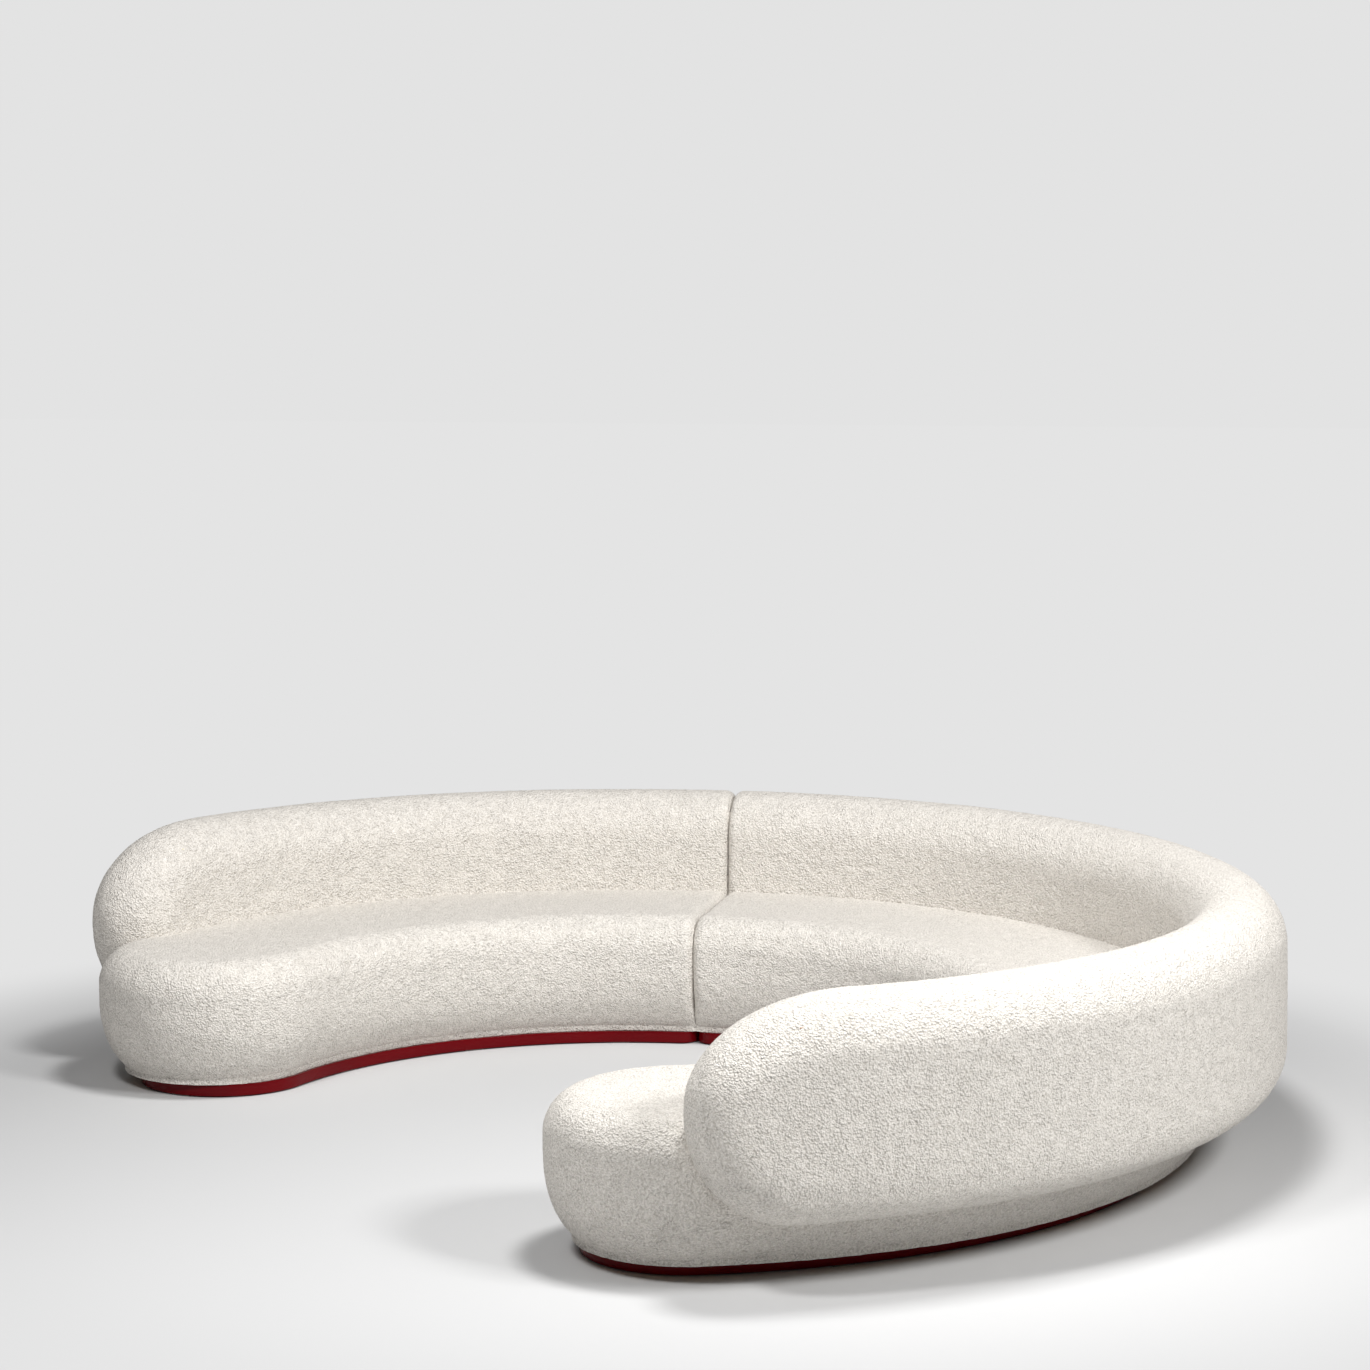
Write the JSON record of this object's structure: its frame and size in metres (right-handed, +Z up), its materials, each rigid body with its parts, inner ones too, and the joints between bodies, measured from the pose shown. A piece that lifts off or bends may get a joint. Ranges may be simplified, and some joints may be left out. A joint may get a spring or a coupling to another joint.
{
  "type": "curved sofa",
  "caption": "Curved sectional sofa in cream boucle on a red lacquered plinth, with a padded wrap-round back, for seating people around an open middle.",
  "frame": {"origin": "on the floor, under the middle of the whole sofa's bounding box", "axes": "+Z up; +Y towards the rear, where the two modules meet; +X to the right of someone facing that seam from the open side"},
  "size_m": [3.8106, 3.7624, 0.75],
  "materials": {
    "boucle": "cream boucle, looped pile",
    "red_lacquer": "dark red gloss lacquer on bent board",
    "battens": "planed softwood",
    "beech": "sawn beech",
    "plywood": "birch plywood, bare",
    "felt": "pressed felt, dark grey",
    "webbing": "elastic webbing, woven",
    "foam": "cut polyurethane foam",
    "zinc_steel": "zinc-plated steel"
  },
  "bodies": {
    "root": {"long_back_bottom_rails": "beech", "long_back_brackets": "zinc_steel", "long_back_cover": "boucle", "long_back_foam": "foam", "long_back_panel": "plywood", "long_back_ribs": "plywood", "long_back_top_rails": "beech", "long_base_board": "plywood", "long_end_rails": "beech", "long_floor_pads": "felt", "long_front_rails": "beech", "long_plinth": "red_lacquer", "long_plinth_crossbars": "battens", "long_rear_rails": "beech", "long_seat_cover": "boucle", "long_seat_foam": "foam", "long_seat_ribs": "plywood", "long_webbing": "webbing", "seam_plates": "zinc_steel", "short_back_bottom_rails": "beech", "short_back_brackets": "zinc_steel", "short_back_cover": "boucle", "short_back_foam": "foam", "short_back_panel": "plywood", "short_back_ribs": "plywood", "short_back_top_rails": "beech", "short_base_board": "plywood", "short_end_rails": "beech", "short_floor_pads": "felt", "short_front_rails": "beech", "short_plinth": "red_lacquer", "short_plinth_crossbars": "battens", "short_rear_rails": "beech", "short_seat_cover": "boucle", "short_seat_foam": "foam", "short_seat_ribs": "plywood", "short_webbing": "webbing"}
  },
  "joints": []
}
